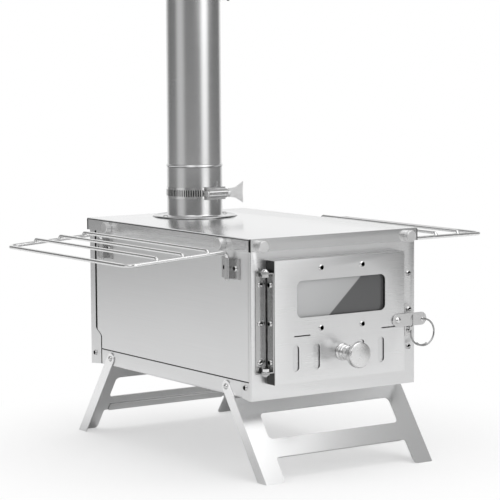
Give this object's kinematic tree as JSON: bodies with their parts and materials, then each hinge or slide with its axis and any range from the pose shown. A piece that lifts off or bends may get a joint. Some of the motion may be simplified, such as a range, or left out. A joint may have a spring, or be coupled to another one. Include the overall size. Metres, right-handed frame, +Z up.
{
  "type": "tent wood stove",
  "caption": "Tent wood stove: sheet-steel firebox on folding leg frames, hinged window door with air slide and latch, side racks, and a sectional chimney with damper and spark arrestor.",
  "frame": {"origin": "on the ground, under the middle of the stove's reach from the knob's face to the rear feet", "axes": "+Z up along the chimney, -Y out of the door, +X to the right of a person who faces the door"},
  "size_m": [0.449, 0.389, 2.1766],
  "materials": {
    "body_steel": "brushed stainless steel",
    "panel_steel": "brushed stainless steel",
    "cooktop_steel": "brushed stainless steel",
    "door_steel": "brushed stainless steel",
    "slide_steel": "brushed stainless steel",
    "leg_steel": "brushed stainless steel",
    "pipe_steel": "brushed stainless steel",
    "clamp_steel": "brushed stainless steel",
    "wire_steel": "brushed stainless steel",
    "clip_steel": "brushed stainless steel",
    "screw_steel": "polished stainless steel",
    "thumb_steel": "polished stainless steel",
    "hinge_steel": "brushed stainless steel",
    "latch_steel": "polished stainless steel",
    "knob_steel": "polished stainless steel",
    "flap_steel": "brushed stainless steel",
    "spring_steel": "brushed stainless steel",
    "window_glass": "clear heat-proof pane"
  },
  "bodies": {
    "firebox": {"bottom_tray": "body_steel", "left_wall": "body_steel", "right_wall": "body_steel", "front_panel": "panel_steel", "rear_panel": "panel_steel", "top_plate": "cooktop_steel", "flue_collar": "pipe_steel", "collar_screws": "screw_steel", "thumbscrews": "thumb_steel", "body_screws": "screw_steel", "hinge_panel_leaf": "hinge_steel", "hinge_bolts": "screw_steel", "hinge_leaf_screws": "screw_steel", "latch_keeper": "latch_steel", "keeper_screws": "screw_steel", "left_rack_clips": "clip_steel", "right_rack_clips": "clip_steel", "clip_screws": "screw_steel", "leg_pivots": "screw_steel", "base_clamp": "clamp_steel"},
    "door": {"hinge_door_leaf": "hinge_steel", "door_leaf_screws": "screw_steel", "door": "door_steel", "window_glass": "window_glass", "window_retainer": "door_steel", "window_screws": "screw_steel", "latch_rivet": "screw_steel"},
    "air_control": {"air_slide": "slide_steel", "air_knob": "knob_steel"},
    "latch": {"latch_strap": "latch_steel"},
    "latch_ring": {"latch_ring": "latch_steel"},
    "left_rack": {"left_rack": "wire_steel"},
    "right_rack": {"right_rack": "wire_steel"},
    "front_legs": {"front_legs": "leg_steel"},
    "rear_legs": {"rear_legs": "leg_steel"},
    "chimney": {"damper_pipe": "pipe_steel", "pipe_1": "pipe_steel", "pipe_2": "pipe_steel", "pipe_3": "pipe_steel", "pipe_4": "pipe_steel", "pipe_5": "pipe_steel", "pipe_6": "pipe_steel", "spark_arrestor": "pipe_steel", "arrestor_cap": "pipe_steel", "guy_lugs": "clamp_steel", "pipe_clamps": "clamp_steel"},
    "damper": {"damper_shaft": "wire_steel", "damper_flap": "flap_steel", "damper_spring": "spring_steel"},
    "clamp_key_1": {"clamp_key_1": "clamp_steel"},
    "clamp_key_2": {"clamp_key_2": "clamp_steel"},
    "clamp_key_3": {"clamp_key_3": "clamp_steel"},
    "clamp_key_4": {"clamp_key_4": "clamp_steel"},
    "clamp_key_5": {"clamp_key_5": "clamp_steel"},
    "clamp_key_6": {"clamp_key_6": "clamp_steel"},
    "clamp_key_7": {"clamp_key_7": "clamp_steel"},
    "clamp_key_8": {"clamp_key_8": "clamp_steel"}
  },
  "joints": [
    {"name": "door_hinge", "type": "hinge", "parent": "firebox", "child": "door", "pos_m": [-0.0905, -0.15711, 0.1578], "axis": [0, 0, -1], "range_deg": [0, 150]},
    {"name": "air_slide", "type": "slide", "parent": "door", "child": "air_control", "axis": [1, 0, 0], "range_m": [0, 0.0127]},
    {"name": "latch_turn", "type": "hinge", "parent": "door", "child": "latch", "pos_m": [0.0695, -0.16401, 0.1483], "axis": [0, -1, 0], "range_deg": [-8, 60]},
    {"name": "ring_swing", "type": "hinge", "parent": "latch", "child": "latch_ring", "pos_m": [0.1018, -0.16401, 0.1476], "axis": [0, -1, 0], "range_deg": [0, 75]},
    {"name": "left_rack_lift", "type": "slide", "parent": "firebox", "child": "left_rack", "axis": [0, 0, 1], "range_m": [0, 0.03]},
    {"name": "right_rack_lift", "type": "slide", "parent": "firebox", "child": "right_rack", "axis": [0, 0, 1], "range_m": [0, 0.03]},
    {"name": "front_legs_fold", "type": "hinge", "parent": "firebox", "child": "front_legs", "pos_m": [0, -0.10611, 0.0893], "axis": [1, 0, 0], "range_deg": [0, 113]},
    {"name": "rear_legs_fold", "type": "hinge", "parent": "firebox", "child": "rear_legs", "pos_m": [0, 0.12289, 0.0893], "axis": [-1, 0, 0], "range_deg": [0, 113]},
    {"name": "chimney_lift", "type": "slide", "parent": "firebox", "child": "chimney", "axis": [0, 0, 1], "range_m": [0, 0.05]},
    {"name": "damper_turn", "type": "hinge", "parent": "chimney", "child": "damper", "pos_m": [0, 0.11139, 0.4832], "axis": [1, 0, 0], "range_deg": [0, 90]},
    {"name": "clamp_key_1_turn", "type": "hinge", "parent": "firebox", "child": "clamp_key_1", "pos_m": [0.021, 0.07544, 0.2683], "axis": [1, 0, 0], "continuous": true},
    {"name": "clamp_key_2_turn", "type": "hinge", "parent": "chimney", "child": "clamp_key_2", "pos_m": [0.021, 0.07604, 0.5146], "axis": [1, 0, 0], "continuous": true},
    {"name": "clamp_key_3_turn", "type": "hinge", "parent": "chimney", "child": "clamp_key_3", "pos_m": [0.021, 0.07604, 0.7606], "axis": [1, 0, 0], "continuous": true},
    {"name": "clamp_key_4_turn", "type": "hinge", "parent": "chimney", "child": "clamp_key_4", "pos_m": [0.021, 0.07604, 1.0066], "axis": [1, 0, 0], "continuous": true},
    {"name": "clamp_key_5_turn", "type": "hinge", "parent": "chimney", "child": "clamp_key_5", "pos_m": [0.021, 0.07604, 1.2526], "axis": [1, 0, 0], "continuous": true},
    {"name": "clamp_key_6_turn", "type": "hinge", "parent": "chimney", "child": "clamp_key_6", "pos_m": [0.021, 0.07604, 1.4986], "axis": [1, 0, 0], "continuous": true},
    {"name": "clamp_key_7_turn", "type": "hinge", "parent": "chimney", "child": "clamp_key_7", "pos_m": [0.021, 0.07604, 1.7446], "axis": [1, 0, 0], "continuous": true},
    {"name": "clamp_key_8_turn", "type": "hinge", "parent": "chimney", "child": "clamp_key_8", "pos_m": [0.021, 0.07604, 1.9906], "axis": [1, 0, 0], "continuous": true}
  ]
}
